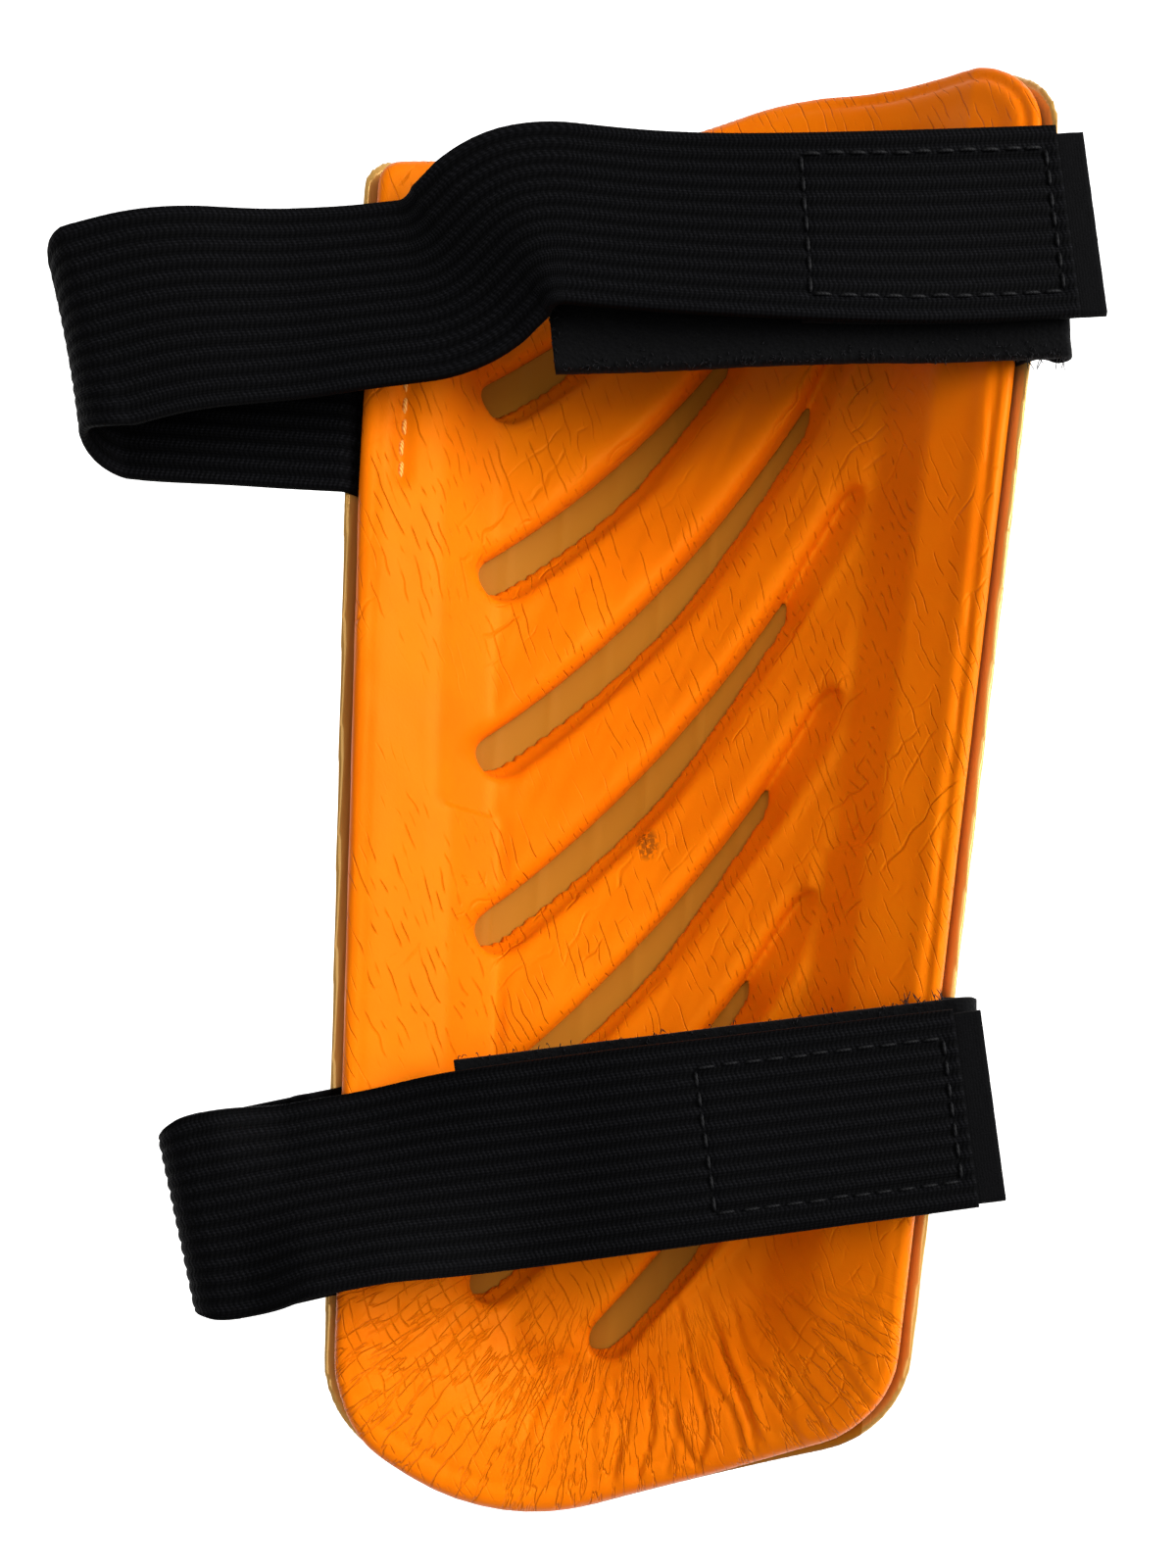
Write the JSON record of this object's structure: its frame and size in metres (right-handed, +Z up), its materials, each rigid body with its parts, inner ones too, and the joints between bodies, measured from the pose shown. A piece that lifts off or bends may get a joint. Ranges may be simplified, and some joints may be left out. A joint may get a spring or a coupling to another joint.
{
  "type": "football shin guard",
  "caption": "Curved plastic shin shell with a vented moulded foam pad and elastic bands that fold back and close on loop tabs with hook patches.",
  "frame": {"origin": "on the foam pad's recessed face, in the middle between the side rails, where the shin rests", "axes": "+Z up along the shin to the knee, -Y out of the pad towards the leg, +X to the right as the leg side is seen"},
  "size_m": [0.1559, 0.0369, 0.2407],
  "materials": {
    "shell": "glossy pale gold plastic",
    "foam": "soft moulded foam with a satin skin",
    "elastic": "ribbed woven elastic",
    "hook_tape": "stiff hook tape",
    "loop_tape": "brushed loop pile",
    "black_thread": "twisted sewing thread",
    "orange_thread": "twisted sewing thread"
  },
  "bodies": {
    "guard": {"shell": "shell", "foam_pad": "foam", "upper_band_root": "elastic", "upper_band_anchor_stitches": "orange_thread", "upper_tab_root": "loop_tape", "upper_tab_anchor_stitches": "black_thread", "lower_band_root": "elastic", "lower_band_anchor_stitches": "orange_thread", "lower_tab_root": "loop_tape", "lower_tab_anchor_stitches": "black_thread"},
    "upper_inner": {"upper_band_inner_leg": "elastic"},
    "upper_outer": {"upper_band_outer_leg": "elastic", "upper_hook_patch": "hook_tape", "upper_hook_stitches": "black_thread"},
    "upper_tab": {"upper_loop_tab": "loop_tape"},
    "lower_inner": {"lower_band_inner_leg": "elastic"},
    "lower_outer": {"lower_band_outer_leg": "elastic", "lower_hook_patch": "hook_tape", "lower_hook_stitches": "black_thread"},
    "lower_tab": {"lower_loop_tab": "loop_tape"}
  },
  "joints": [
    {"name": "upper_band_swing", "type": "hinge", "parent": "guard", "child": "upper_inner", "pos_m": [-0.0516, -0.01857, 0.0614], "axis": [0, 0, -1], "range_deg": [0, 75]},
    {"name": "upper_band_open", "type": "hinge", "parent": "upper_inner", "child": "upper_outer", "pos_m": [-0.083, -0.0307, 0.05948], "axis": [0.2326, 0, -0.9726], "range_deg": [0, 165]},
    {"name": "upper_tab_lift", "type": "hinge", "parent": "guard", "child": "upper_tab", "pos_m": [0.05606, -0.02765, 0.0934], "axis": [-0.0872, 0, 0.9962], "range_deg": [0, 66]},
    {"name": "lower_band_swing", "type": "hinge", "parent": "guard", "child": "lower_inner", "pos_m": [-0.04816, -0.01503, -0.063], "axis": [0, 0, -1], "range_deg": [0, 75]},
    {"name": "lower_band_open", "type": "hinge", "parent": "lower_inner", "child": "lower_outer", "pos_m": [-0.061, -0.02661, -0.06693], "axis": [0.2605, 0, -0.9655], "range_deg": [0, 165]},
    {"name": "lower_tab_lift", "type": "hinge", "parent": "guard", "child": "lower_tab", "pos_m": [0.04986, -0.02356, -0.0391], "axis": [-0.1028, 0, 0.9947], "range_deg": [0, 66]}
  ],
  "couplings": [
    {"joint": "upper_tab_lift", "follows": "upper_band_open", "ratio": 0.4},
    {"joint": "lower_tab_lift", "follows": "lower_band_open", "ratio": 0.4}
  ]
}
